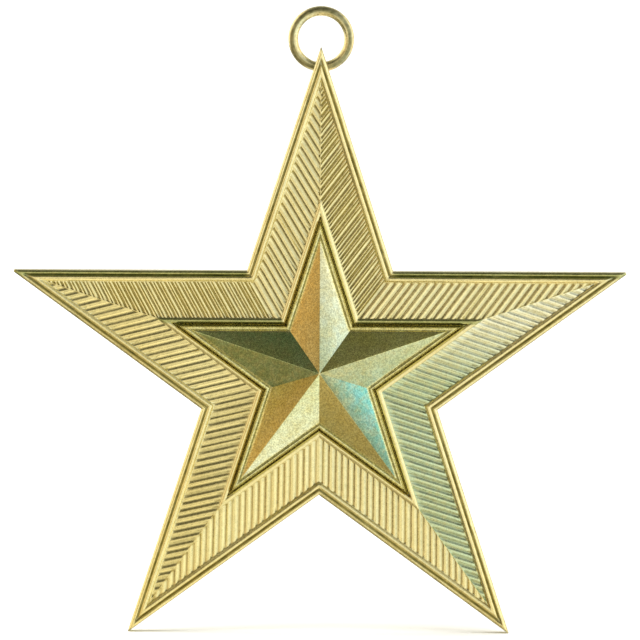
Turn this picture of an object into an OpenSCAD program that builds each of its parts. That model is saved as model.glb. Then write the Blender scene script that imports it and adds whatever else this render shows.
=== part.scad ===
// Service medal: a five-pointed star of gilt brass hanging from a jump ring.
// The struck star carries a double rim round a sunk field, and an applied faceted centre star
// that two pins, peened over on the reverse, hold in a recess. The ring swings in an eyelet
// whose tang is brazed into the back of the top arm.
// Millimetres. X runs to the right, Z runs up, and the front of the medal faces -Y.
// The origin is the centre of the star, on the flat round pad of its reverse.

/* [Star] */
// Centre of the star to the sharp end of an arm
star_r = 26; // [24:0.5:28]
// Thickness of an arm at the foot of its rim
field_t = 1.2; // [1:0.1:1.6]
// Slope of the field, which rises from the rim to the centre star
field_slope = 5; // [2:1:8]
// Width of the flat left at the end of the upper and lower arms
tip_w = 0.06; // [0.04:0.01:0.2]
// Width of the flat left at the ends of the two side arms, which are more worn
side_tip_w = 0.16; // [0.04:0.01:0.3]

/* [Rim] */
// Outline to the outer crest
crest_inset = 0.18; // [0.14:0.01:0.22]
// Width of the outer crest
crest_w = 0.05; // [0.03:0.01:0.08]
// Outline to the bottom of the groove between the two rims
groove_inset = 0.38; // [0.34:0.01:0.42]
// Outline to the inner rim's flat top
ridge_inset = 0.55; // [0.5:0.01:0.6]
// Width of the inner rim's flat top
ridge_w = 0.14; // [0.08:0.01:0.18]
// Outline to the foot of the inner rim, where the field starts
foot_inset = 0.86; // [0.82:0.01:1]
// Height of the outer crest over the foot of the inner rim
crest_h = 0.18; // [0.12:0.02:0.24]
// Height of the groove's bottom over the foot of the inner rim
groove_h = 0.03; // [0:0.01:0.06]
// Height of the inner rim over its foot
ridge_h = 0.2; // [0.14:0.02:0.26]

/* [Centre star] */
// Centre to the end of an arm at the foot of the centre star
centre_r = 12.3; // [12:0.1:12.8]
// Centre to the end of an arm at the crest of its wall
centre_crest_r = 11.3; // [10.6:0.1:11.6]
// Width of the raised border round the centre star
border_w = 0.45; // [0.3:0.05:0.5]
// Height of the border over the field beside it
border_h = 0.1; // [0.05:0.01:0.15]
// Depth of the recess that the centre star sits in, below the field round it
recess_depth = 0.55; // [0.3:0.05:0.7]
// Height of the wall's crest over the field round it
centre_wall_h = 0.8; // [0.6:0.1:1.2]
// Height of the apex over the wall's crest
centre_apex_h = 1.7; // [1.2:0.1:2.2]
// Gap round the centre star in its recess
recess_play = 0.03; // [0.02:0.01:0.05]

/* [Reverse] */
// Radius of the flat round pad on the reverse
pad_r = 7.5; // [6:0.5:8]
// Height of the pad over the back of the arms
pad_h = 0.3; // [0.2:0.1:0.6]
// Radius of each pin that holds the centre star
pin_r = 0.6; // [0.5:0.1:0.8]
// Radius of each pin's peened head
pin_head_r = 1; // [0.9:0.1:1.3]
// Distance of each pin from the middle
pin_x = 3.2; // [2.6:0.1:3.6]
// Gap between a pin and its hole
pin_play = 0.02; // [0.01:0.01:0.04]

/* [Jump ring] */
// Radius of the ring's wire
wire_r = 0.4; // [0.3:0.05:0.45]
// Radius of the ring at the middle of its wire
ring_r = 2.24; // [2:0.02:2.6]
// Distance of the hinge line below the sharp end of the top arm
ring_drop = 1.7; // [1.6:0.05:1.9]
// Distance of the hinge line behind the back of the arm
ring_stand = 0.75; // [0.7:0.05:0.9]
// Gap between the wire and the eyelet's hole
eyelet_play = 0.08; // [0.06:0.01:0.1]
// Wall of the eyelet round its hole
eyelet_wall = 0.27; // [0.2:0.01:0.3]
// Width of the eyelet along the hinge line
eyelet_w = 0.6; // [0.5:0.05:0.6]
// How far the eyelet's foot runs down the arm below the hinge line
eyelet_foot = 1.4; // [1.2:0.1:1.8]

/* [Hidden] */
$fn = 96;
over = 1; // how far a cutter reaches past what it cuts
points = 5;
tips = [tip_w, side_tip_w, tip_w, tip_w, side_tip_w]; // from the top arm anticlockwise
sharp = [for (w = tips) 0.01]; // the ends of the field and of the recess
half_point = 18; // half of the angle at the end of an arm
notch_ratio = sin(half_point) / sin(3 * half_point); // of the inner corners' radius to the outer
// heights over the pad's face
back_z = pad_h;
foot_z = back_z + field_t;
crest_z = foot_z + crest_h;
groove_z = foot_z + groove_h;
ridge_z = foot_z + ridge_h;
recess_inset = (star_r - centre_r) * sin(half_point) - recess_play;
border_inset = recess_inset - border_w;
field_top_z = foot_z + (border_inset - foot_inset) * tan(field_slope);
border_z = field_top_z + border_h;
recess_z = field_top_z - recess_depth;
centre_crest_z = field_top_z + centre_wall_h;
apex_z = centre_crest_z + centre_apex_h;
bevel_h = 0.2;
border_bevel = 0.12;
wall_r = centre_r - 0.2;
facet_r = centre_crest_r - 0.25;
facet_step = 0.05;
pin_bite = 0.8; // depth of a pin in the centre star
head_h = 0.4;
head_sunk = 0.05;
hinge_y = star_r - ring_drop;
hinge_z = back_z - ring_stand;
eyelet_hole_r = wire_r + eyelet_play;
eyelet_r = eyelet_hole_r + eyelet_wall;
tang_w = 0.4;
tang_depth = 0.4;
tang_play = 0.02;
// the tang's two ends along the arm, measured down from the hinge line
tang_top = 0.2;
tang_bottom = 1.1;

function ray(r, a) = [r * cos(a), r * sin(a)];
// Circumradius of the star whose edges lie this far inside the outline
function inset_r(d) = star_r - d / sin(half_point);
function star_points(r) = [for (i = [0 : 2 * points - 1])
    ray(i % 2 == 0 ? r : r * notch_ratio, 90 + 2 * half_point * i)];
// A level outline at height z, its edges d inside the star's, each arm ending in a flat
function outline(d, z, flats = tips) = [for (i = [0 : 2 * points - 1], side = [-1, 1])
    let (a = 90 + 2 * half_point * i, r = inset_r(d), w = i % 2 == 0 ? flats[i / 2] / 2 : 0)
    if (w > 0 || side > 0) level(i % 2 == 0 ? ray(r - w / tan(half_point), a) + side * ray(w, a + 90)
        : ray(r * notch_ratio, a), z)];
function level(p, z) = [p.x, p.y, z];

// Everything is drawn with its front upwards, then stood up to face -Y
module stand() {
    rotate([90, 0, 0]) children();
}

// A closed solid through level outlines that all have as many corners, the first one lowest.
// A fan of triangles round the middle closes each end.
module loft(outlines) {
    n = len(outlines[0]);
    last = len(outlines) - 1;
    middle = len(outlines) * n;
    polyhedron(
        points = concat([for (o = outlines) each o],
            [[0, 0, outlines[0][0].z], [0, 0, outlines[last][0].z]]),
        faces = [for (i = [0 : n - 1]) let (j = (i + 1) % n) each concat(
            [[i, j, middle]],
            [[last * n + j, last * n + i, middle + 1]],
            [for (k = [0 : last - 1], half = [0, 1]) let (low = k * n, high = low + n)
                half == 0 ? [high + i, high + j, low + i] : [high + j, low + j, low + i]])]);
}

module pin_positions() {
    for (x = [-pin_x, pin_x]) translate([x, 0, 0]) children();
}

// A block along the arm, measured down from the hinge line
module arm_block(w, top, bottom, z0, z1) {
    translate([-w / 2, hinge_y - bottom, z0]) cube([w, bottom - top, z1 - z0]);
}

// The outlines run from the back round the double rim, over the field and its inner border, and
// down into the recess
module struck_star() {
    loft([
        outline(0, back_z),
        outline(0, crest_z - bevel_h),
        outline(crest_inset, crest_z),
        outline(crest_inset + crest_w, crest_z),
        outline(groove_inset, groove_z),
        outline(ridge_inset, ridge_z),
        outline(ridge_inset + ridge_w, ridge_z),
        outline(foot_inset, foot_z, sharp),
        outline(border_inset, field_top_z, sharp),
        outline(border_inset + border_bevel, border_z, sharp),
        outline(recess_inset - border_bevel, border_z, sharp),
        outline(recess_inset, field_top_z, sharp),
        outline(recess_inset, recess_z, sharp)]);
}

module star_body() {
    color("#cdbc7e") stand() difference() {
        union() {
            struck_star();
            cylinder(r = pad_r, h = pad_h + 0.1);
        }
        pin_positions() {
            translate([0, 0, head_sunk + head_h]) cylinder(r = pin_r + pin_play, h = foot_z);
            translate([0, 0, head_sunk])
                cylinder(r1 = pin_head_r + pin_play, r2 = pin_r + pin_play, h = head_h);
            translate([0, 0, head_sunk - over]) cylinder(r = pin_head_r + pin_play, h = over);
        }
        arm_block(tang_w + 2 * tang_play, tang_top - tang_play, tang_bottom + tang_play,
            back_z - over, back_z + tang_depth + tang_play);
    }
}

// Ten flat facets rise from a crested wall to one apex
module centre_star() {
    color("#c9a75a") stand() difference() {
        union() {
            translate([0, 0, recess_z])
                linear_extrude(height = field_top_z - recess_z)
                    polygon(star_points(centre_r));
            translate([0, 0, field_top_z])
                linear_extrude(height = centre_crest_z - field_top_z, scale = centre_crest_r / wall_r)
                    polygon(star_points(wall_r));
            translate([0, 0, centre_crest_z - facet_step])
                linear_extrude(height = centre_apex_h + facet_step, scale = 0)
                    polygon(star_points(facet_r));
        }
        pin_positions() translate([0, 0, recess_z - over])
            cylinder(r = pin_r + pin_play, h = over + pin_bite);
    }
}

// Two pins, each peened into a countersink on the reverse
module centre_star_pins() {
    color("#b89a55") stand() pin_positions() {
        translate([0, 0, head_sunk + head_h])
            cylinder(r = pin_r, h = recess_z + pin_bite - head_h - 2 * head_sunk);
        translate([0, 0, head_sunk]) cylinder(r1 = pin_head_r, r2 = pin_r, h = head_h);
    }
}

// A drilled lug with its foot on the back of the arm and its tang in a slot there
module suspension_eyelet() {
    color("#bfa860") stand() difference() {
        union() {
            translate([-eyelet_w / 2, hinge_y, hinge_z]) rotate([0, 90, 0])
                cylinder(r = eyelet_r, h = eyelet_w);
            arm_block(eyelet_w, 0, eyelet_foot, back_z - ring_stand / 2, back_z);
            arm_block(eyelet_w, -eyelet_r / 2, eyelet_r, hinge_z, back_z);
            arm_block(tang_w, tang_top, tang_bottom, back_z - 0.1, back_z + tang_depth);
        }
        translate([-over, hinge_y, hinge_z]) rotate([0, 90, 0])
            cylinder(r = eyelet_hole_r, h = 2 * over);
    }
}

// The ring stands up from the eyelet, in the plane of the star
module jump_ring() {
    color("#b7a768") stand() translate([0, hinge_y + ring_r, hinge_z])
        rotate_extrude() translate([ring_r, 0]) circle(r = wire_r);
}

star_body();
centre_star();
centre_star_pins();
suspension_eyelet();
jump_ring();
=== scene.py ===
"""Looks of a service medal: a gilt star with fluted fields, hanging from a jump ring.

Sizes are in millimetres. A point is (x, up, height): x to the right, up along the top arm and
height out of the reverse pad, towards someone looking at the front.
"""

import math
import random

import bmesh
import bpy
import numpy as np
from mathutils import Matrix, Vector


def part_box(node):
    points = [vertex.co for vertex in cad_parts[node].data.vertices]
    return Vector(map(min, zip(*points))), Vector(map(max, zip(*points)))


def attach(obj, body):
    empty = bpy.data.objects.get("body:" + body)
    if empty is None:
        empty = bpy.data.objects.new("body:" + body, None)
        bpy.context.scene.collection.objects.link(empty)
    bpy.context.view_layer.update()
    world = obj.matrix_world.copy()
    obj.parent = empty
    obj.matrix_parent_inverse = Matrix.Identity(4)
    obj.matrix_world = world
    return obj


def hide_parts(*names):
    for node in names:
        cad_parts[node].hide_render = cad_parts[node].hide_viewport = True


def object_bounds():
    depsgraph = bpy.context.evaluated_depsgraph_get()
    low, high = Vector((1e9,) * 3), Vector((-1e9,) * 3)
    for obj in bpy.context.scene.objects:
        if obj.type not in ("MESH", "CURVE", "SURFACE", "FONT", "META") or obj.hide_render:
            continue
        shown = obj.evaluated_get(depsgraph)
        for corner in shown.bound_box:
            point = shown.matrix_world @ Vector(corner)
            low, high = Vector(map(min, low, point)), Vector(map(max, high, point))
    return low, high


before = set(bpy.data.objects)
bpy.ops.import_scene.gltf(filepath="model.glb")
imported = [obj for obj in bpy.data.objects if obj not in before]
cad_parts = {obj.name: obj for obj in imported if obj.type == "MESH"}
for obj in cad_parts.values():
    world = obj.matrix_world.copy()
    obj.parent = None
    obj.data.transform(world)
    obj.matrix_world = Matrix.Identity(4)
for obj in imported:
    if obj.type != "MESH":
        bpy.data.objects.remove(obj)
CAD_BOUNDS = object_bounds()

MM = 0.001
HALF_POINT = math.radians(18)
NOTCH = math.sin(HALF_POINT) / math.sin(3 * HALF_POINT)
SIDES = 10


def cad_box(node):
    """The lowest and highest (x, up, height) of a CAD node."""
    lo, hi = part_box(node)
    return (np.array((lo.x, lo.z, -hi.y)) / MM, np.array((hi.x, hi.z, -lo.y)) / MM)


BODY_HI = cad_box("star_body")[1]
CENTRE_LO, CENTRE_HI = cad_box("centre_star")
PINS_LO, PINS_HI = cad_box("centre_star_pins")
EYELET_LO, EYELET_HI = cad_box("suspension_eyelet")
RING_LO, RING_HI = cad_box("jump_ring")

# Widths of the flats at the ends of the arms, of the outline and of the chains further in
TIP_W = 0.06
SIDE_TIP_W = 0.16
FINE_TIP_W = 0.012
FACET_TIP_W = 0.0008
SHARP = [FINE_TIP_W] * 5

# Star
STAR_R = BODY_HI[1] + TIP_W / 2 / math.tan(HALF_POINT)
BACK = 0.3
FOOT = BODY_HI[2] - 0.2
FIELD_SLOPE = math.tan(math.radians(5))
FOOT_INSET = 0.86
# Rim from the reverse round to the field: (inset from the outline, height over the foot, patina and
# painted shade)
RIM = [
    (0.16, BACK - FOOT, 0.2), (0.07, BACK + 0.012 - FOOT, 0.1), (0.02, BACK + 0.05 - FOOT, 0.1),
    (0.0, BACK + 0.13 - FOOT, 0.3), (0.0, -0.6, 0.35), (0.0, -0.16, 0.3), (0.0, -0.05, 0.4),
    (0.012, 0.0, 0.4), (0.04, 0.06, 0.2), (0.08, 0.115, 0), (0.13, 0.152, 0), (0.18, 0.17, 0),
    (0.225, 0.17, 0), (0.26, 0.148, 0.1), (0.295, 0.1, 0.5), (0.335, 0.05, 1),
    (0.375, 0.03, 1), (0.415, 0.055, 0.8), (0.455, 0.105, 0.3), (0.5, 0.155, 0),
    (0.55, 0.185, 0), (0.6, 0.196, 0), (0.65, 0.192, 0), (0.7, 0.176, 0), (0.745, 0.15, 0),
    (0.785, 0.115, 0), (0.82, 0.072, 0.05), (0.855, 0.025, 0.2)]
RIM_STEPS = 64
# How uneven the edges are
RIPPLE = 0.006
# Small dents in the outer edge: (place round the star, depth, width)
NICKS = [(9.644, 0.09, 0.3), (6.468, 0.1, 0.35), (2.31, 0.05, 0.25), (5.62, 0.05, 0.3)]
EDGE_LENGTH = 18.9
# The level upper edges of the side arms, which carry painted shade on the rim and the border
TOP_EDGE = STAR_R * math.sin(HALF_POINT)
TOP_EDGE_PAINTED_SHADE = (0.5, 0.58, 0.46)
PAINTED_SHADE_RIM = (0.03, 0.48)
PAINTED_SHADE_BORDER_W = 0.4
NOTCH_X, BORDER_NOTCH_X = 5.9, 3

# Field
FIELD_OUT = 0.9
FIELD_IN = 3.76
FIELD_TOP = FOOT + (FIELD_IN - FOOT_INSET) * FIELD_SLOPE
RECESS_IN = (STAR_R - CENTRE_HI[1]) * math.sin(HALF_POINT) - 0.03
# Rounded border of the recess: (inset from the recess's edge, height over the field, patina and painted
# shade)
BORDER = [(0.42, 0.005, 0.5), (0.39, 0.022, 0.3), (0.35, 0.066, 0), (0.29, 0.1, 0), (0.22, 0.115, 0),
          (0.15, 0.108, 0), (0.08, 0.076, 0), (0.025, 0.01, 0), (0, -0.1, 0.25)]
# Notch of each sector: direction of its flutes, how much they fan out, how deep they are, and
# whether the half of it that comes second, going anticlockwise, is hatched twice as finely
SECTORS = {1: (120, -5.5, 1, True), 3: (193.5, -2, 0.75, False), 5: (269.5, 3, 0.85, False),
           7: (342, -1, 0.75, False), 9: (52.5, -1.5, 1, True)}
PITCH = 0.512
# The sector with painted cool, greenish light, and its tints below and above the middle of the star
PAINTED_COOL_SECTOR = 7
PAINTED_COOL_LOW, PAINTED_COOL_HIGH = np.array((0.64, 0.85, 1.02)), np.array((1.05, 1.15, 1.55))
# Section of a flute: (place in the pitch, height over the field, patina and painted shade)
FLUTE = [(0.0, 0.0, 0), (0.06, 0.004, 0), (0.16, 0.007, 0), (0.26, 0.004, 0), (0.31, -0.006, 0.05),
         (0.44, -0.052, 0.12), (0.57, -0.102, 0.3), (0.63, -0.11, 0.4), (0.69, -0.102, 0.3),
         (0.83, -0.052, 0.12), (0.95, -0.012, 0.05)]
FINE_FLUTE = [(0.0, 0.0, 0), (0.06, -0.025, 0.25), (0.16, -0.085, 0.75), (0.26, -0.025, 0.25),
              (0.32, 0.004, 0), (0.38, 0.004, 0), (0.44, -0.012, 0.1), (0.56, -0.06, 0.3),
              (0.67, -0.11, 0.75), (0.78, -0.06, 0.3), (0.88, -0.012, 0.1), (0.94, 0.002, 0)]
FLUTE_ROWS = 7
# Length of a flute's run-out, the gap at the seams along the arms, and how evenly flutes are cut
RAMP = 0.07
SEAM_GAP = 0.02
PITCH_ERROR = 0.03
DEPTHS = (0.8, 1.1)
# Smallest distances of a flute's rows from the sector's ends and from its fixed rows
END_GAP, FLUTE_GAP, ROW_GAP = 0.03, 0.045, 0.012

# Centre star
CENTRE_R = CENTRE_HI[1]
RECESS = CENTRE_LO[2]
APEX = CENTRE_HI[2]
CREST = APEX - 1.7
# Wall from the recess up to the crest: (radius, height, patina and painted shade)
WALL = [
    (CENTRE_R - 0.1, RECESS, 1), (CENTRE_R, RECESS + 0.04, 1), (CENTRE_R, FIELD_TOP - 0.1, 0.4),
    (CENTRE_R - 0.04, FIELD_TOP - 0.05, 0.15), (CENTRE_R - 0.12, FIELD_TOP - 0.02, 0.1),
    (CENTRE_R - 0.2, FIELD_TOP + 0.02, 0.1), (12.03, FIELD_TOP + 0.12, 0.05),
    (11.96, FIELD_TOP + 0.27, 0.05), (11.89, FIELD_TOP + 0.42, 0.05), (11.82, FIELD_TOP + 0.57, 0),
    (11.75, FIELD_TOP + 0.69, 0), (11.67, FIELD_TOP + 0.755, 0), (11.57, CREST - 0.014, 0),
    (11.46, CREST - 0.002, 0), (11.34, CREST, 0), (11.22, CREST - 0.003, 0),
    (11.12, CREST - 0.014, 0), (11.03, CREST - 0.038, 0.3), (10.95, CREST - 0.056, 0.8),
    (10.87, CREST - 0.056, 0.8), (10.79, CREST - 0.03, 0.3), (10.7, CREST, 0),
    (10.6, CREST + 0.026, 0)]
WALL_TINT = (0.92, 1, 0.95)
FACET_ROWS = 26
FACET_SPREAD = [0, 0.008, 0.02, 0.04, 0.07, 0.12, 0.18, 0.25, 0.32, 0.4, 0.48, 0.56, 0.64, 0.72,
                0.79, 0.85, 0.9, 0.94, 0.97, 0.985, 0.995]
# Rounding of the ridges and valleys, how far the facets bulge, and how much that wavers
RIDGE_SOFT = 0.007
FACET_CROWN = 0.05
FACET_WAVE = 0.02
# Painted light and shade of each facet, anticlockwise from the top arm's left, as a tint of the clean
# metal: (at the apex, at the arm's end, at the notch)
FACET_LIGHT_AND_SHADE = [
    ((0.66, 0.68, 0.6), (1.06, 0.92, 0.62), (1.06, 0.93, 0.66)),
    ((0.64, 0.85, 0.7), (0.75, 0.95, 0.75), (0.4, 0.68, 0.55)),
    ((0.42, 0.56, 0.55), (0.5, 0.66, 0.55), (0.3, 0.42, 0.36)),
    ((0.6, 0.58, 0.38), (1.06, 0.94, 0.62), (0.6, 0.66, 0.4)),
    ((0.88, 1.05, 1.05), (1.05, 1.2, 1.5), (1, 1.18, 1.45)),
    ((1.05, 1.02, 0.8), (0.66, 0.68, 0.56), (0.75, 0.78, 0.62)),
    ((0.36, 0.42, 0.36), (0.24, 0.5, 0.62), (0.3, 0.98, 1.7)),
    ((0.6, 0.7, 0.7), (0.82, 1, 1.1), (0.45, 0.68, 0.85)),
    ((1, 1.1, 0.8), (1.05, 1.15, 0.8), (0.95, 1.1, 0.75)),
    ((0.45, 0.62, 0.75), (1.04, 1.08, 1.2), (0.85, 1.08, 1.5))]

# Reverse and pins
PAD_R = 7.5
HEAD_R = PINS_HI[1]
PIN_X = PINS_HI[0] - HEAD_R
HEAD_SUNK = PINS_LO[2]
HEAD_H = 0.4
PIN_R = 0.6
PIN_BITE = 0.8
DOME = 0.045
DENTS, DENT_DEPTH = 16, 0.016
DOME_ROWS = [0.985, 0.94, 0.88, 0.8, 0.72, 0.64, 0.56, 0.48, 0.4, 0.32, 0.24, 0.16, 0.08]
PLAY = 0.02
ROUND_STEPS = 96
PIN_STEPS = 48

# Ring and eyelet
WIRE_R = (RING_HI[2] - RING_LO[2]) / 2
RING_CENTRE = (RING_LO + RING_HI) / 2
RING_R = (RING_HI[0] - RING_LO[0]) / 2 - WIRE_R
HINGE = np.array((0, RING_CENTRE[1] - RING_R, RING_CENTRE[2]))
EYELET_R = EYELET_HI[1] - HINGE[1]
EYELET_W = EYELET_HI[0] - EYELET_LO[0]
HOLE_R = 0.48
# The eyelet's foot and tang, measured along the arm from the hinge line
LUG_BOTTOM, LUG_TOP = -1.4, 0.38
TANG_BOTTOM, TANG_TOP = HINGE[1] - 1.1, HINGE[1] - 0.2
TANG_HALF = 0.2
TANG_DEPTH = 0.4
# Edge of the lug's sides: (part of the half width, depth below the outline)
LUG_BEVELS = [(1, 0.06), (0.985, 0.03), (0.955, 0.01), (0.91, 0), (0.3, 0)]
BORE_STEPS = 48
BRAZE_STEPS = 72
LUG_SWEEP, LUG_STEPS = math.pi + 1.02, 40
# The ring's butt seam, the marks beside it and the painted dark reflection along the wire's front and
# back
SEAM_ANGLE = math.radians(281)
SEAM_DEPTH, SEAM_W = 0.055, 0.035
GRIP_DEPTH, GRIP_W = 0.03, 0.35
BAND_START, BAND_FADE, BAND_TURN = 0.87, 0.07, 0.25
BEND_STEPS, WIRE_STEPS = 300, 28


# ---- geometry ----

def smooth_noise(seed, waves=7, lowest=1, highest=12):
    """A seeded wavy function of a number, from about -1 to 1, that repeats every SIDES."""
    rng = random.Random(seed)
    terms = [(rng.randint(lowest, highest), rng.uniform(0, math.tau)) for _ in range(waves)]
    return lambda s: sum(np.sin(math.tau * k * s / SIDES + p) for k, p in terms) / waves ** 0.5


def corner(i, inset):
    """Corner i of the star whose edges lie this far inside the outline; arms end at even i."""
    r = (STAR_R - inset / math.sin(HALF_POINT)) * (1 if i % 2 == 0 else NOTCH)
    a = math.pi / 2 + 2 * HALF_POINT * i
    return np.array((r * math.cos(a), r * math.sin(a)))


def from_tip(s):
    """How far along its side place s lies: 0 at the arm's end, 1 at the notch."""
    return s % 2 if s % 2 <= 1 else 2 - s % 2


def inset_of(radius):
    """Distance inside the outline of the edges of a star with this radius."""
    return (STAR_R - radius) * math.sin(HALF_POINT)


def edge_length(inset):
    """Length of a side of the star whose edges lie this far inside the outline."""
    return np.linalg.norm(corner(0, inset) - corner(1, inset))


def roof(p, k):
    """Height of the field's plane at p, in the sector of notch k."""
    inset = -math.inf
    for i in (k - 1, k):
        a, b = corner(i, 0), corner(i + 1, 0)
        along = (b - a) / np.linalg.norm(b - a)
        inset = max(inset, float((p - a) @ np.array((-along[1], along[0]))))
    return FOOT + (inset - FOOT_INSET) * FIELD_SLOPE


class Shell:
    """A closed surface built from chains of points. A chain is a list of (place, index), where
    place runs from 0 to SIDES round the star."""

    def __init__(self):
        self.points, self.patina_and_shade, self.faces, self.fills = [], [], [], []
        self.tints = {}

    def add(self, p, height, patina_and_shade=0.0):
        """A point. Returns its index."""
        self.points.append((p[0], p[1], height))
        self.patina_and_shade.append(patina_and_shade)
        return len(self.points) - 1

    def star(self, inset_at, height_at, patina_and_shade, steps, tips):
        """A star-shaped closed chain. inset_at and height_at give both at a place round it, and
        steps are the parts of a side, from the arm's end at 0 to the notch at 1."""
        chain = []
        for i in range(SIDES):
            tip_first = i % 2 == 0
            flat = tips[(i if tip_first else i + 1) % SIDES // 2] / 2 / math.sin(HALF_POINT)
            for f in steps if tip_first else [1 - f for f in steps[-2::-1]]:
                inset = inset_at(i + f)
                start = flat / edge_length(inset)
                g = start + (1 - start) * f if tip_first else (1 - start) * f
                p = (1 - g) * corner(i, inset) + g * corner(i + 1, inset)
                chain.append((i + g, self.add(p, height_at(i + f), patina_and_shade)))
        return chain

    def circle(self, centre, r, height, patina_and_shade=0.0, steps=ROUND_STEPS):
        """A round closed chain."""
        return [(SIDES * n / steps, self.add(
            (centre[0] + r * math.cos(math.tau * n / steps),
             centre[1] + r * math.sin(math.tau * n / steps)), height, patina_and_shade))
            for n in range(steps)]

    def band(self, a, b):
        """Squares between two closed chains with as many points."""
        for (_, p), (_, q), (_, r), (_, s) in zip(a, a[1:] + a[:1], b[1:] + b[:1], b):
            self.faces.append((p, q, r, s))

    def stitch(self, a, b, closed=True):
        """Triangles between two chains, whatever their numbers of points."""
        if closed:
            a, b = a + [(a[0][0] + SIDES, a[0][1])], b + [(b[0][0] + SIDES, b[0][1])]
        i = j = 0
        while i < len(a) - 1 or j < len(b) - 1:
            if j == len(b) - 1 or (i < len(a) - 1 and a[i + 1][0] <= b[j + 1][0]):
                self.faces.append((a[i][1], b[j][1], a[i + 1][1]))
                i += 1
            else:
                self.faces.append((a[i][1], b[j][1], b[j + 1][1]))
                j += 1

    def bands(self, chains):
        """Squares between each chain and the next."""
        for a, b in zip(chains, chains[1:]):
            self.band(a, b)

    def fill(self, *chains, normal=(0, 1, 0)):
        """A flat face bounded by the first chain, with a hole at each of the others. The normal
        is in the scene's axes, where the reverse looks along +Y."""
        self.fills.append(([[v for _, v in c] for c in chains], normal))

    def close(self, chain, height, patina_and_shade=0.0):
        """A fan of triangles from a closed chain to a point at its middle."""
        ring = [v for _, v in chain]
        middle = self.add(np.mean([self.points[v][:2] for v in ring], axis=0), height, patina_and_shade)
        for p, q in zip(ring, ring[1:] + ring[:1]):
            self.faces.append((p, q, middle))

    def build(self, name, body, node, materials, smooth_angle=32):
        """One object. Flat fills take the second material where there is one."""
        mesh = bpy.data.meshes.new(name)
        bm = bmesh.new()
        layer = bm.verts.layers.float.new("patina_and_shade")
        # Per point: patina in the hollows, with painted shade added in the grooves, the recess round
        # the centre star and the holes
        tint = bm.verts.layers.float_color.new("tint")
        verts = [bm.verts.new((x * MM, -h * MM, up * MM)) for x, up, h in self.points]
        for n, (v, patina_and_shade) in enumerate(zip(verts, self.patina_and_shade)):
            v[layer] = patina_and_shade
            v[tint] = (*self.tints.get(n, (1, 1, 1)), 1)
        for face in self.faces:
            bm.faces.new([verts[i] for i in face])
        for chains, normal in self.fills:
            edges = []
            for chain in chains:
                for p, q in zip(chain, chain[1:] + chain[:1]):
                    edge = bm.edges.get((verts[p], verts[q]))
                    edges.append(edge or bm.edges.new((verts[p], verts[q])))
            bmesh.ops.triangle_fill(bm, edges=edges, use_beauty=True, normal=normal)
        bmesh.ops.recalc_face_normals(bm, faces=bm.faces)
        bm.faces.ensure_lookup_table()
        for n, face in enumerate(bm.faces):
            face.smooth = n < len(self.faces)
            face.material_index = 0 if face.smooth else len(materials) - 1
        for edge in bm.edges:
            if edge.is_manifold and edge.calc_face_angle() > math.radians(smooth_angle):
                edge.smooth = False
        bm.to_mesh(mesh)
        bm.free()
        for material in materials:
            mesh.materials.append(material)
        obj = bpy.data.objects.new(name, mesh)
        bpy.context.scene.collection.objects.link(obj)
        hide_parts(node)
        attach(obj, body)
        return obj


def fluted_field(shell):
    """The five fluted sectors. Returns the closed chains at the rim's foot and at the
    recess's border."""
    outer, inner, halves = [], [], []
    for k, cut in SECTORS.items():
        columns = sector_columns(k, *cut)
        grid = [[shell.add(p, h, patina_and_shade) for p, h, patina_and_shade in column] for _, column in columns]
        if k == PAINTED_COOL_SECTOR:
            # Painted cool light on this sector, brighter and bluer above the middle of the star
            for v in sum(grid, []):
                low = min(max(-shell.points[v][1] / 5 + 0.8, 0), 1)
                shell.tints[v] = low * PAINTED_COOL_LOW + (1 - low) * PAINTED_COOL_HIGH
        for a, b in zip(grid, grid[1:]):
            for r in range(len(a) - 1):
                shell.faces.append((a[r], b[r], b[r + 1], a[r + 1]))
        outer += [(place(p[-1][0], k, FIELD_OUT), g[-1]) for (_, p), g in zip(columns, grid)]
        first = next(n for n, (kind, _) in enumerate(columns) if kind == "first")
        last = next(n for n, (kind, _) in enumerate(columns) if kind == "last")
        inner += [(place(p[0][0], k, FIELD_IN), g[0])
                  for (_, p), g in list(zip(columns, grid))[first:last + 1]]
        start = [g[0] for g in grid[first::-1]] + grid[0][1:]
        end = [g[0] for g in grid[last:]] + grid[-1][1:]
        halves.append([[(np.hypot(*shell.points[v][:2]), v) for v in half]
                       for half in (start, end)])
    for (_, end), (start, _) in zip(halves, halves[1:] + halves[:1]):
        shell.stitch(end, start, closed=False)
    return outer, inner


def place(p, k, inset):
    """Where p on the star's edge lies, as a place round the star, near notch k."""
    for i in (k - 1, k):
        a, b = corner(i, inset), corner(i + 1, inset)
        f = float((p - a) @ (b - a)) / edge_length(inset) ** 2
        if i == k or f < 1:
            return i + min(max(f, 0), 1)


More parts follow.
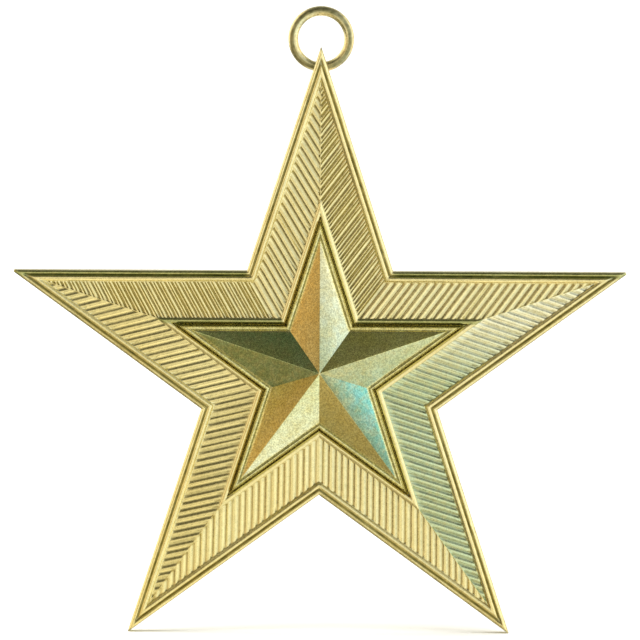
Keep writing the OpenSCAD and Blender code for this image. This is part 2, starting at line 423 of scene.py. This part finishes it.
def sector_columns(k, degrees, fan, depth, fine):
    """Columns of (point, height, patina) along the flutes of the sector at notch k, each with
    its kind: first and last are those at the ends of the recess's border."""
    rng = random.Random(40 + k)
    along = np.array((math.cos(math.radians(degrees)), math.sin(math.radians(degrees))))
    across = np.array((-along[1], along[0]))

    def near_tip(i, inset, towards):
        """A point beside arm i's end, on the side towards the notch."""
        f = SEAM_GAP / math.sin(HALF_POINT) / edge_length(inset)
        return (1 - f) * corner(i, inset) + f * corner(towards, inset)

    rim = [near_tip(k - 1, FIELD_OUT, k), corner(k, FIELD_OUT), near_tip(k + 1, FIELD_OUT, k)]
    border = [near_tip(k - 1, FIELD_IN, k), corner(k, FIELD_IN), near_tip(k + 1, FIELD_IN, k)]
    low = [rim[0], *border, rim[2]]
    rim_u, rim_v = [p @ across for p in rim], [p @ along for p in rim]
    low_u, low_v = [p @ across for p in low], [p @ along for p in low]
    start, end = rim_u[0], rim_u[2]

    def ends(u):
        """Both ends of the flute whose middle is at u, as (across, along)."""
        v0, v1 = np.interp(u, low_u, low_v), np.interp(u, rim_u, rim_v)
        lean = math.tan(math.radians(fan * (u - (start + end) / 2) / (end - start)))
        u0, u1 = u - (v1 - v0) / 2 * lean, u + (v1 - v0) / 2 * lean
        return (u0, np.interp(u0, low_u, low_v)), (u1, np.interp(u1, rim_u, rim_v))

    def through(target, end_no):
        """Middle of the flute that has this end at target."""
        u = target
        for _ in range(8):
            u += target - ends(u)[end_no][0]
        return u

    fixed = [(start + END_GAP, "rim"), (end - END_GAP, "rim"), (through(rim_u[1], 1), "notch"),
             (through(low_u[1], 0), "first"), (through(low_u[2], 0), "middle"),
             (through(low_u[3], 0), "last")]
    stops = [(u, kind, None) for u, kind in fixed]
    for n in range(-1, math.ceil((end - start) / PITCH) + 2):
        shift, deep = rng.uniform(-PITCH_ERROR, PITCH_ERROR), rng.uniform(*DEPTHS) * depth
        lined = fine and start + n * PITCH > rim_u[1]
        for at, drop, patina_and_shade in FINE_FLUTE if lined else FLUTE:
            u = start + (n + at) * PITCH + shift
            clear = all(abs(u - f) > ROW_GAP for f, _ in fixed)
            if start + FLUTE_GAP < u < end - FLUTE_GAP and clear:
                stops.append((u, "flute", (drop * (deep if drop < 0 else 1), patina_and_shade)))
    stops.sort(key=lambda stop: stop[0])
    us, drops, worn = zip(*[(u, *shape) for u, _, shape in stops if shape])
    columns = []
    for u, kind, shape in stops:
        drop, patina_and_shade = shape or (np.interp(u, us, drops), np.interp(u, us, worn))
        p0, p1 = [across * a + along * b for a, b in ends(u)]
        ramp = min(RAMP / np.linalg.norm(p1 - p0), 0.3)
        inside = [ramp + (1 - 2 * ramp) * n / (FLUTE_ROWS - 1) for n in range(FLUTE_ROWS)]
        column = []
        for t in [0, *inside, 1]:
            p = p0 + t * (p1 - p0)
            column.append((p, roof(p, k) + (0 if t in (0, 1) else drop), patina_and_shade))
        columns.append((kind, column))
    return columns


def star_body():
    """The struck star: double rim, fluted field, bordered recess, and the pad on the reverse."""
    shell = Shell()
    steps = [n / RIM_STEPS for n in range(RIM_STEPS + 1)]
    rim = rim_chains(shell, steps)
    shell.bands(rim)
    rim_end = len(shell.points)
    outer, inner = fluted_field(shell)
    field_end = len(shell.points)
    shell.stitch(rim[-1], outer)

    border = [shell.star(lambda s, d=RECESS_IN - out: d, lambda s, h=FIELD_TOP + rise: h, patina_and_shade,
                         steps, SHARP) for out, rise, patina_and_shade in BORDER]
    border_end = len(shell.points)
    shell.stitch(inner, border[0])
    shell.bands(border)
    floor = shell.star(lambda s: RECESS_IN, lambda s: RECESS, 1, steps, SHARP)
    shell.band(border[-1], floor)
    reverse(shell, rim[0], floor)

    for n, (x, up, height) in enumerate(shell.points):
        # Painted warm light: the star turns more orange towards its lower left
        warm = max(0, (-0.6 * x - 0.8 * up) / STAR_R)
        tint = np.array((1, 1 - 0.06 * warm, 1 - 0.25 * warm)) * shell.tints.get(n, (1, 1, 1))
        # Painted shade along the level upper edges of the side arms, on the rim and the recess's border
        inset = TOP_EDGE - up
        dark = False
        if n < rim_end and height > FOOT - PLAY:
            dark = PAINTED_SHADE_RIM[0] < inset < PAINTED_SHADE_RIM[1] and abs(x) > NOTCH_X
        elif field_end <= n < border_end:
            dark = 0 < RECESS_IN - inset < PAINTED_SHADE_BORDER_W and abs(x) > BORDER_NOTCH_X
        shell.tints[n] = tuple(tint * (TOP_EDGE_PAINTED_SHADE if dark else 1))
    return shell.build("star_body_struck", "star", "star_body", [gilt_field(), gilt_back()])


def rim_chains(shell, steps):
    """The rim's chains, from the reverse round to the field, slightly uneven and nicked."""
    tips = [TIP_W, SIDE_TIP_W, TIP_W, TIP_W, SIDE_TIP_W]
    chains = []
    for n, (inset, height, patina_and_shade) in enumerate(RIM):
        sway, lift = smooth_noise(100 + n // 3, highest=60), smooth_noise(200 + n, highest=80)
        nick = (1 - min(inset / 0.3, 1)) * (height > 0)

        def inset_at(s, inset=inset, sway=sway, nick=nick):
            dent = sum(d * math.exp(-((s - at) * EDGE_LENGTH / w) ** 2) for at, d, w in NICKS)
            return max(inset + RIPPLE * sway(s) + dent * nick, 0) if inset > 0.01 else dent * nick

        def height_at(s, height=height, lift=lift):
            return FOOT + height + (min(RIPPLE * lift(s), 0) if height > -0.2 else 0)

        fade = 0.3 + 0.7 * max(0, 1 - inset / 0.6)
        chains.append(shell.star(inset_at, height_at, patina_and_shade, steps,
                                 [max(w * fade, FINE_TIP_W) for w in tips]))
    return chains


def reverse(shell, edge, floor):
    """The pad, the countersunk holes through to the recess's floor and the tang's slot."""
    pad = [shell.circle((0, 0), r, h, patina_and_shade) for r, h, patina_and_shade in [
        (PAD_R + 0.14, BACK, 0.4), (PAD_R + 0.06, BACK - 0.015, 0.8), (PAD_R + 0.015, BACK - 0.06, 0.6),
        (PAD_R, BACK - 0.14, 0.2), (PAD_R, 0.09, 0), (PAD_R - 0.02, 0.04, 0),
        (PAD_R - 0.06, 0.012, 0), (PAD_R - 0.12, 0, 0)]]
    shell.bands(pad)
    sinks, holes = [], []
    for x in (-PIN_X, PIN_X):
        sink = [shell.circle((x, 0), r, h, patina_and_shade) for r, h, patina_and_shade in [
            (HEAD_R + 0.07, 0, 0), (HEAD_R + 0.03, 0.012, 0.5), (HEAD_R + PLAY, HEAD_SUNK, 1),
            (PIN_R + PLAY, HEAD_SUNK + HEAD_H, 1), (PIN_R + PLAY, RECESS, 1)]]
        shell.bands(sink)
        sinks.append(sink[0])
        holes.append(sink[-1])
    slot = tang_slot(shell)
    shell.fill(edge, pad[0], slot)
    shell.fill(pad[-1], *sinks)
    shell.fill(floor, *holes)


def tang_slot(shell):
    """The slot for the eyelet's tang, in the back of the top arm. Returns its mouth."""
    half, top, bottom = TANG_HALF + PLAY, TANG_TOP + PLAY, TANG_BOTTOM - PLAY
    corners = [(-half, bottom), (half, bottom), (half, top), (-half, top)]
    mouth, foot = [[(n * SIDES / 4, shell.add(p, h, 0.6)) for n, p in enumerate(corners)]
                   for h in (BACK, BACK + TANG_DEPTH + PLAY)]
    shell.band(mouth, foot)
    shell.faces.append(tuple(v for _, v in foot))
    return mouth


def centre_star():
    """Steep wall and grooved crest, then ten slightly crowned facets up to the apex."""
    shell = Shell()
    steps = FACET_SPREAD + [1]
    chains = []
    for n, (radius, height, patina_and_shade) in enumerate(WALL):
        lift = smooth_noise(300 + n // 2, highest=70)
        chains.append(shell.star(
            lambda s, d=inset_of(radius): d,
            lambda s, h=height, lift=lift: h + min(RIPPLE * lift(s), 0), patina_and_shade, steps, SHARP))
        for _, v in chains[-1]:
            shell.tints[v] = WALL_TINT
    top_r = WALL[-1][0]
    slope = (APEX - CREST) / (top_r * math.sin(HALF_POINT))
    sway = [smooth_noise(70 + n, waves=3, highest=3) for n in range(SIDES)]
    across = edge_length(inset_of(top_r)) * math.sin(HALF_POINT)
    for n in range(1, FACET_ROWS):
        t = (1 - n / FACET_ROWS) ** 1.1

        def height_at(s, t=t):
            f = from_tip(s)
            flat = CREST + (APEX - CREST) * (1 - t)
            ridge = math.hypot(slope * f * across * t, RIDGE_SOFT) - slope * f * across * t
            rise = slope * (1 - f) * across * 0.6 * t
            valley = math.hypot(rise, RIDGE_SOFT) - rise
            bow = 4 * f * (1 - f) * t
            wave = sway[int(s) % SIDES](2 * f + 4 * t)
            return flat - ridge + valley + bow * (FACET_CROWN + FACET_WAVE * wave)

        chain = shell.star(lambda s, d=inset_of(top_r * t): d, height_at, 0, steps,
                           [FACET_TIP_W] * 5)
        for s, v in chain:
            # Painted light and shade on each facet, blended from the apex to the arm's end and the
            # notch
            f = from_tip(s)
            corners = np.array(FACET_LIGHT_AND_SHADE[int(s) % SIDES])
            shell.tints[v] = np.array((1 - t, t * (1 - f), t * f)) @ corners
        chains.append(chain)
    shell.bands(chains)
    shell.close(chains[-1], APEX - RIDGE_SOFT * 1.2)
    holes = []
    for x in (-PIN_X, PIN_X):
        hole = [shell.circle((x, 0), PIN_R + PLAY, h, 0.5) for h in (RECESS, RECESS + PIN_BITE)]
        shell.band(*hole)
        shell.close(hole[1], RECESS + PIN_BITE)
        holes.append(hole[0])
    shell.fill(chains[0], *holes)
    return shell.build("centre_star_faceted", "star", "centre_star", [gilt_facets()], 24)


def centre_star_pins():
    """Two pins with hammered heads, peened into their countersinks."""
    shell = Shell()
    rng = random.Random(11)
    for x in (-PIN_X, PIN_X):
        dents = [(rng.uniform(-0.7, 0.7), rng.uniform(-0.7, 0.7), rng.uniform(0.18, 0.32))
                 for _ in range(DENTS)]
        shaft = [(PIN_R, RECESS + PIN_BITE - PLAY), (PIN_R, HEAD_SUNK + HEAD_H),
                 (HEAD_R, HEAD_SUNK + 0.01)]
        chains = [shell.circle((x, 0), r, h, 0.5, PIN_STEPS) for r, h in shaft]
        for r in DOME_ROWS:
            chain = shell.circle((x, 0), HEAD_R * r, 0, 0.4 * r ** 6, PIN_STEPS)
            for _, v in chain:
                px, up, _ = shell.points[v]
                dome = HEAD_SUNK - DOME * (1 - r ** 2) ** 0.6
                for dx, dy, w in dents:
                    far = math.hypot(px - x - dx, up - dy) / w
                    dome += DENT_DEPTH * max(0, 1 - far ** 2)
                shell.points[v] = (px, up, dome)
            chains.append(chain)
        shell.bands(chains)
        shell.close(chains[0], RECESS + PIN_BITE - PLAY)
        shell.close(chains[-1], shell.points[chains[-1][0][1]][2])
    return shell.build("centre_star_pins_peened", "star", "centre_star_pins", [hammered_brass()], 60)


def lug_outline():
    """The eyelet from the side, as (along the arm, height) points from its foot round to its top."""
    centre = HINGE[2]
    side = [(LUG_BOTTOM, BACK), (LUG_BOTTOM, BACK - 0.26), (-1.37, BACK - 0.33),
            (-1.31, BACK - 0.37), (-1.2, BACK - 0.375), (-1.0, BACK - 0.375), (-0.86, BACK - 0.4),
            (-0.78, BACK - 0.47), (-0.752, BACK - 0.6), (-EYELET_R, centre)]
    side += [(-EYELET_R * math.cos(a), centre - EYELET_R * math.sin(a))
             for a in np.linspace(0, LUG_SWEEP, LUG_STEPS)[1:]]
    side += [(LUG_TOP, BACK - 0.03), (LUG_TOP, BACK)]
    return [np.array(p) for p in side]


def suspension_eyelet():
    """A rounded lug, drilled across, with a tang on its foot and braze round it."""
    shell = Shell()
    outline = lug_outline()
    count = len(outline)
    inwards = []
    for n in range(count):
        before, after = outline[n - 1], outline[(n + 1) % count]
        way = (after - before) / np.linalg.norm(after - before)
        inwards.append(np.array((-way[1], way[0])))
    lug, bore = [], []
    for w, depth in LUG_BEVELS + [(-w, d) for w, d in LUG_BEVELS[::-1]]:
        x = w * EYELET_W / 2
        ring = []
        for n, p in enumerate(outline):
            q = p + inwards[n] * depth if p[1] < BACK - 0.001 else p
            ring.append((n, shell.add((x, HINGE[1] + q[0]), q[1], 0.2)))
        lug.append(ring)
        ring = []
        for n in range(BORE_STEPS):
            a = math.tau * n / BORE_STEPS
            r = HOLE_R + depth * 0.7
            p = (x, HINGE[1] + r * math.cos(a))
            ring.append((n, shell.add(p, HINGE[2] + r * math.sin(a), 0.6)))
        bore.append(ring)
    for rings in (lug, bore):
        shell.bands(rings)
    shell.fill(lug[0], bore[0], normal=(1, 0, 0))
    shell.fill(lug[-1], bore[-1], normal=(1, 0, 0))
    corners = [(-TANG_HALF, TANG_BOTTOM), (TANG_HALF, TANG_BOTTOM), (TANG_HALF, TANG_TOP),
               (-TANG_HALF, TANG_TOP)]
    tang = [[(n, shell.add(p, h)) for n, p in enumerate(corners)]
            for h in (BACK - 0.05, BACK + TANG_DEPTH - 0.01)]
    shell.bands(tang)
    for chain in tang:
        shell.faces.append(tuple(v for _, v in chain))
    braze(shell)
    return shell.build("suspension_eyelet_lug", "star", "suspension_eyelet", [brazed_brass()], 40)


def braze(shell):
    """A thin fillet of braze round the eyelet's foot."""
    half, low, high = EYELET_W / 2, HINGE[1] + LUG_BOTTOM, HINGE[1] + LUG_TOP
    centre, reach = np.array((0, (low + high) / 2)), (high - low) / 2
    lumps = smooth_noise(21, lowest=3, highest=11)
    chains = []
    for out, height in [(-0.04, BACK - 0.02), (-0.04, BACK - 0.1), (0.004, BACK - 0.1),
                        (0.016, BACK - 0.055), (0.04, BACK - 0.022), (0.085, BACK - 0.002),
                        (0.085, BACK + 0.01)]:
        chain = []
        for n in range(BRAZE_STEPS):
            a = math.tau * n / BRAZE_STEPS
            c, s = math.cos(a), math.sin(a)
            box = (abs(c) ** 9 + abs(s) ** 9) ** (-1 / 9)
            grow = out * (1 + 0.2 * lumps(SIDES * n / BRAZE_STEPS))
            p = centre + np.array((c * box * (half + grow), s * box * (reach + grow)))
            chain.append((n, shell.add(p, height, 0.7)))
        chains.append(chain)
    shell.bands(chains + chains[:1])


def jump_ring():
    """Round wire bent to a ring, butted beside the eyelet, with the marks of the pliers."""
    shell = Shell()
    wave, worn = smooth_noise(31, highest=9), smooth_noise(32, lowest=5, highest=24)
    chains = []
    for n in range(BEND_STEPS):
        a, s = math.tau * n / BEND_STEPS, SIDES * n / BEND_STEPS
        chain = []
        gap = math.exp(-((a - SEAM_ANGLE) * RING_R / SEAM_W) ** 2)
        grip = sum(math.exp(-((a - SEAM_ANGLE + d) * RING_R / GRIP_W) ** 2) for d in (-0.5, 0.5))
        for m in range(WIRE_STEPS):
            b = math.tau * m / WIRE_STEPS
            r = WIRE_R - SEAM_DEPTH * gap - 0.004 * (1 + wave(s)) / 2
            r -= GRIP_DEPTH * grip * max(0, abs(math.cos(b)) - 0.6)
            r -= 0.002 * (1 + worn(s + 3 * m))
            reach = RING_R + r * math.cos(b)
            p = (RING_CENTRE[0] + reach * math.cos(a), RING_CENTRE[1] + reach * math.sin(a))
            # Painted dark reflection: a band along the wire's front and back
            facing = abs(math.sin(b + BAND_TURN))
            painted_reflection_band = 0.95 * min(max(0, facing - BAND_START) / BAND_FADE, 1)
            chain.append((m, shell.add(p, RING_CENTRE[2] + r * math.sin(b), max(gap, painted_reflection_band))))
        chains.append(chain)
    shell.bands(chains + chains[:1])
    return shell.build("jump_ring_wire", "ring", "jump_ring", [drawn_wire()], 50)


# ---- materials ----

DULL_TINT = (0.85, 0.85, 0.75)
TURNING_PITCH = 0.16


class Metal:
    """A metal whose colour, roughness and relief come from seeded noise and the layer of patina and
    painted shade.
    """

    def __init__(self, name, clean, dark, warm):
        self.material = bpy.data.materials.new(name)
        self.material.use_nodes = True
        self.nodes, self.links = self.material.node_tree.nodes, self.material.node_tree.links
        self.shader = self.nodes["Principled BSDF"]
        self.shader.inputs["Metallic"].default_value = 1.0
        self.where = self.nodes.new("ShaderNodeTexCoord").outputs["Object"]
        self.clean, self.dark, self.warm = clean, dark, warm
        patina_and_shade = self.nodes.new("ShaderNodeAttribute")
        patina_and_shade.attribute_name = "patina_and_shade"
        self.patina_and_shade = patina_and_shade.outputs["Fac"]

    def noise(self, size, detail=2.0, stretch=(1, 1, 1)):
        """Noise whose blotches are about this many millimetres across."""
        mapping = self.nodes.new("ShaderNodeMapping")
        mapping.inputs["Scale"].default_value = stretch
        node = self.nodes.new("ShaderNodeTexNoise")
        node.inputs["Scale"].default_value = 1 / (size * MM)
        node.inputs["Detail"].default_value = detail
        self.links.new(self.where, mapping.inputs["Vector"])
        self.links.new(mapping.outputs["Vector"], node.inputs["Vector"])
        return node.outputs["Fac"]

    def turned(self):
        """Fine rings round the middle of the reverse, on the pad but not on the arms."""
        rings = self.nodes.new("ShaderNodeTexWave")
        rings.wave_type, rings.rings_direction = "RINGS", "Y"
        rings.inputs["Scale"].default_value = 0.3 / (TURNING_PITCH * MM)
        rings.inputs["Distortion"].default_value = 0.4
        self.links.new(self.where, rings.inputs["Vector"])
        axes = self.nodes.new("ShaderNodeSeparateXYZ")
        self.links.new(self.where, axes.inputs["Vector"])
        pad = self.maths("GREATER_THAN", axes.outputs["Y"], -BACK / 2 * MM)
        return self.maths("MULTIPLY", rings.outputs["Fac"], pad)

    def spread(self, value, low, high, start=0.3, end=0.7):
        """A value from start to end stretched to run from low to high."""
        node = self.nodes.new("ShaderNodeMapRange")
        for socket, number in zip(("From Min", "From Max", "To Min", "To Max"),
                                  (start, end, low, high)):
            node.inputs[socket].default_value = number
        self.links.new(value, node.inputs["Value"])
        return node.outputs["Result"]

    def maths(self, kind, a, b):
        """Arithmetic on two sockets or numbers."""
        node = self.nodes.new("ShaderNodeMath")
        node.operation = kind
        for socket, value in zip(node.inputs, (a, b)):
            if isinstance(value, (int, float)):
                socket.default_value = value
            else:
                self.links.new(value, socket)
        return node.outputs["Value"]

    def times(self, a, b):
        """Two colours multiplied."""
        node = self.nodes.new("ShaderNodeVectorMath")
        node.operation = "MULTIPLY"
        self.links.new(a, node.inputs[0])
        self.links.new(b, node.inputs[1])
        return node.outputs["Vector"]

    def mix(self, factor, a, b):
        """Two colours mixed. Each is a socket or a plain colour."""
        node = self.nodes.new("ShaderNodeMix")
        node.data_type = "RGBA"
        sockets = [s for s in node.inputs if s.type == "RGBA"]
        for socket, value in zip(sockets, (a, b)):
            if isinstance(value, tuple):
                socket.default_value = (*value, 1)
            else:
                self.links.new(value, socket)
        self.links.new(factor, node.inputs["Factor"])
        return next(s for s in node.outputs if s.type == "RGBA")

    def colour(self, blotch, amount, stain_and_shade, speckle, grain):
        """Clean metal with warmer blotches, tints (mostly painted light and shade) and fine specks,
        darkened by the patina and painted shade.
        """
        base = self.mix(self.spread(self.noise(blotch), 0, amount), self.clean, self.warm)
        stain_and_shade_mask = self.maths("MULTIPLY", self.patina_and_shade, self.spread(self.noise(0.5), 0.6 * stain_and_shade, stain_and_shade))
        base = self.mix(stain_and_shade_mask, base, self.dark)
        tint = self.nodes.new("ShaderNodeAttribute")
        tint.attribute_name = "tint"
        dull = self.spread(self.noise(0.45, 3), 0, 0.3, 0.45, 0.65)
        tinted = self.mix(dull, tint.outputs["Color"], DULL_TINT)
        specks = self.spread(self.noise(grain, 3), 1 - speckle, 1, 0.4, 0.6)
        whole = self.times(base, self.times(tinted, specks))
        self.links.new(whole, self.shader.inputs["Base Color"])

    def roughness(self, low, high, size, stained):
        """Uneven roughness, with more of it where the patina and painted shade lie."""
        value = self.spread(self.noise(size, 4), low, high)
        value = self.maths("ADD", value, self.maths("MULTIPLY", self.patina_and_shade, stained))
        self.links.new(value, self.shader.inputs["Roughness"])

    def relief(self, *layers):
        """Bumps from (height socket, millimetres deep) pairs."""
        normal = None
        for height, depth in layers:
            bump = self.nodes.new("ShaderNodeBump")
            bump.inputs["Distance"].default_value = depth * MM
            bump.inputs["Strength"].default_value = 1.0
            self.links.new(height, bump.inputs["Height"])
            if normal:
                self.links.new(normal, bump.inputs["Normal"])
            normal = bump.outputs["Normal"]
        self.links.new(normal, self.shader.inputs["Normal"])


def gilt_field():
    metal = Metal("gilt_field", clean=(0.95, 0.86, 0.5), dark=(0.13, 0.14, 0.055),
                  warm=(0.92, 0.76, 0.36))
    metal.colour(blotch=6, amount=0.5, stain_and_shade=0.85, speckle=0.14, grain=0.25)
    metal.roughness(low=0.22, high=0.34, size=0.25, stained=0.1)
    metal.relief((metal.noise(1.6), 0.012), (metal.noise(0.16, 3), 0.008))
    return metal.material


def gilt_back():
    metal = Metal("gilt_back", clean=(0.82, 0.71, 0.4), dark=(0.26, 0.21, 0.09),
                  warm=(0.74, 0.58, 0.28))
    metal.colour(blotch=5, amount=0.9, stain_and_shade=0.8, speckle=0.12, grain=0.12)
    metal.roughness(low=0.24, high=0.42, size=0.6, stained=0.1)
    metal.relief((metal.noise(3), 0.04), (metal.turned(), 0.004),
                 (metal.noise(0.1, 2, (1, 1, 0.03)), 0.007))
    return metal.material


def gilt_facets():
    metal = Metal("gilt_facets", clean=(0.95, 0.85, 0.5), dark=(0.12, 0.14, 0.065),
                  warm=(0.88, 0.72, 0.33))
    metal.colour(blotch=1.1, amount=0.8, stain_and_shade=0.85, speckle=0.34, grain=0.13)
    metal.roughness(low=0.2, high=0.33, size=0.2, stained=0.14)
    metal.relief((metal.noise(1.1), 0.018), (metal.noise(0.15, 3), 0.013))
    return metal.material


def hammered_brass():
    metal = Metal("hammered_brass", clean=(0.86, 0.72, 0.37), dark=(0.22, 0.16, 0.06),
                  warm=(0.78, 0.58, 0.26))
    metal.colour(blotch=0.8, amount=0.7, stain_and_shade=0.9, speckle=0.2, grain=0.2)
    metal.roughness(low=0.24, high=0.4, size=0.12, stained=0.15)
    metal.relief((metal.noise(0.3), 0.012), (metal.noise(0.06, 3), 0.003))
    return metal.material


def brazed_brass():
    metal = Metal("brazed_brass", clean=(0.86, 0.76, 0.42), dark=(0.34, 0.27, 0.12),
                  warm=(0.8, 0.64, 0.34))
    metal.colour(blotch=0.7, amount=0.6, stain_and_shade=0.8, speckle=0.2, grain=0.15)
    metal.roughness(low=0.26, high=0.42, size=0.15, stained=0.2)
    metal.relief((metal.noise(0.25), 0.01), (metal.noise(0.05, 3), 0.003))
    return metal.material


def drawn_wire():
    metal = Metal("drawn_wire", clean=(0.98, 0.92, 0.58), dark=(0.09, 0.1, 0.035),
                  warm=(0.9, 0.72, 0.36))
    metal.colour(blotch=1.2, amount=0.8, stain_and_shade=0.9, speckle=0.2, grain=0.2)
    metal.roughness(low=0.2, high=0.34, size=0.15, stained=0.2)
    metal.relief((metal.noise(0.5), 0.008), (metal.noise(0.07, 3), 0.003))
    return metal.material


def pale_paper():
    material = bpy.data.materials.new("pale_paper")
    material.use_nodes = True
    nodes, links = material.node_tree.nodes, material.node_tree.links
    shader = nodes["Principled BSDF"]
    shader.inputs["Specular IOR Level"].default_value = 0.1
    shader.inputs["Roughness"].default_value = 0.9
    noise = nodes.new("ShaderNodeTexNoise")
    noise.inputs["Scale"].default_value = 900
    ramp = nodes.new("ShaderNodeMapRange")
    ramp.inputs["To Min"].default_value = 0.9
    ramp.inputs["To Max"].default_value = 0.94
    links.new(noise.outputs["Fac"], ramp.inputs["Value"])
    links.new(ramp.outputs["Result"], shader.inputs["Base Color"])
    return material


# ---- stage ----

FLOOR_R = 15000
FLOOR_GAP = 0.02
VIEW_W = 51.2
LENS, SENSOR_W = 500, 36
AIM_SHIFT = 0.02
OVERHEAD_FROM, OVERHEAD_ENERGY, OVERHEAD_SPREAD = (-0.2, -0.1, 1), 3.2, 50
# How far the camera looks down on the medal, and how far the medal leans
TILT = math.radians(4)
ASKEW = math.radians(0.3)
# Soft lights seen in the metal: (degrees off the line to the viewer, degrees anticlockwise from
# the right, full inside, faded out at, colour)
SOFT_LIGHTS = [
    (0, 0, 12, 36, (0.78, 0.73, 0.56)),
    (58, 0, 34, 58, (0.8, 0.87, 0.9)),
    (100, 6, 30, 56, (0.75, 0.68, 0.52)),
    (54, 165, 12, 30, (0.52, 0.36, 0.18)),
    (32, 198, 8, 20, (0.8, 0.76, 0.6)),
    (54, 236, 6, 24, (0.42, 0.34, 0.17)),
    (44, 286, 10, 30, (0.45, 0.43, 0.3)),
    (106, 162, 26, 46, (1.2, 1.12, 0.9)),
    (84, 276, 24, 42, (1.25, 1.15, 0.92)),
    (180, 0, 30, 85, (0.5, 0.5, 0.48)),
    (180, 0, 5, 14, (0.6, 0.6, 0.6))]
AMBIENT = (0.14, 0.14, 0.1)


def soft_lights():
    """A world whose soft lights show in the metal."""
    world = bpy.data.worlds.new("studio")
    bpy.context.scene.world = world
    world.use_nodes = True
    nodes, links = world.node_tree.nodes, world.node_tree.links
    way = nodes.new("ShaderNodeTexCoord").outputs["Generated"]
    total = None
    for off, turn, inner, outer, colour in SOFT_LIGHTS:
        off, turn = math.radians(off), math.radians(turn)
        dot = nodes.new("ShaderNodeVectorMath")
        dot.operation = "DOT_PRODUCT"
        dot.inputs[1].default_value = Matrix.Rotation(TILT, 3, "X") @ Vector((
            math.sin(off) * math.cos(turn), -math.cos(off), math.sin(off) * math.sin(turn)))
        links.new(way, dot.inputs[0])
        fade = nodes.new("ShaderNodeMapRange")
        fade.interpolation_type = "SMOOTHSTEP"
        fade.inputs["From Min"].default_value = math.cos(math.radians(outer))
        fade.inputs["From Max"].default_value = math.cos(math.radians(inner))
        links.new(dot.outputs["Value"], fade.inputs["Value"])
        tint = nodes.new("ShaderNodeVectorMath")
        tint.operation = "MULTIPLY_ADD"
        tint.inputs[1].default_value = colour
        links.new(fade.outputs["Result"], tint.inputs[0])
        if total is None:
            tint.inputs[2].default_value = AMBIENT
        else:
            links.new(total, tint.inputs[2])
        total = tint.outputs["Vector"]
    links.new(total, nodes["Background"].inputs["Color"])


def floor():
    mesh = bpy.data.meshes.new("floor")
    bm = bmesh.new()
    bmesh.ops.create_circle(bm, cap_ends=True, segments=96, radius=FLOOR_R * MM)
    bm.to_mesh(mesh)
    bm.free()
    mesh.materials.append(pale_paper())
    obj = bpy.data.objects.new("floor", mesh)
    obj.location.z = CAD_BOUNDS[0].z - FLOOR_GAP * MM
    obj.visible_glossy = False
    bpy.context.scene.collection.objects.link(obj)


def overhead_light():
    """A broad light from above, kept out of reflections."""
    lamp = bpy.data.lights.new("overhead", "SUN")
    lamp.angle = math.radians(OVERHEAD_SPREAD)
    lamp.energy = OVERHEAD_ENERGY
    overhead = bpy.data.objects.new("overhead", lamp)
    overhead.rotation_euler = Vector(OVERHEAD_FROM).to_track_quat("Z", "Y").to_euler()
    overhead.visible_glossy = False
    bpy.context.scene.collection.objects.link(overhead)


def camera():
    """A long lens looks at the front from slightly above, as the medal lies a little askew."""
    data = bpy.data.cameras.new("camera")
    data.lens, data.sensor_width = LENS, SENSOR_W
    data.clip_start, data.clip_end = 10 * MM, 40
    obj = bpy.data.objects.new("camera", data)
    lo, hi = CAD_BOUNDS
    shift = AIM_SHIFT * MM
    target = Vector(((lo.x + hi.x) / 2 + shift, -FOOT * MM, (lo.z + hi.z) / 2 + shift))
    distance = VIEW_W * MM * LENS / SENSOR_W
    obj.location = target + distance * Vector((0, -math.cos(TILT), math.sin(TILT)))
    aim = Matrix.Rotation(math.radians(90) - TILT, 3, "X") @ Matrix.Rotation(ASKEW, 3, "Z")
    obj.rotation_euler = aim.to_euler()
    bpy.context.scene.collection.objects.link(obj)
    bpy.context.scene.camera = obj


star_body()
centre_star()
centre_star_pins()
suspension_eyelet()
jump_ring()
soft_lights()
floor()
overhead_light()
camera()
bpy.context.scene.view_settings.view_transform = "Standard"
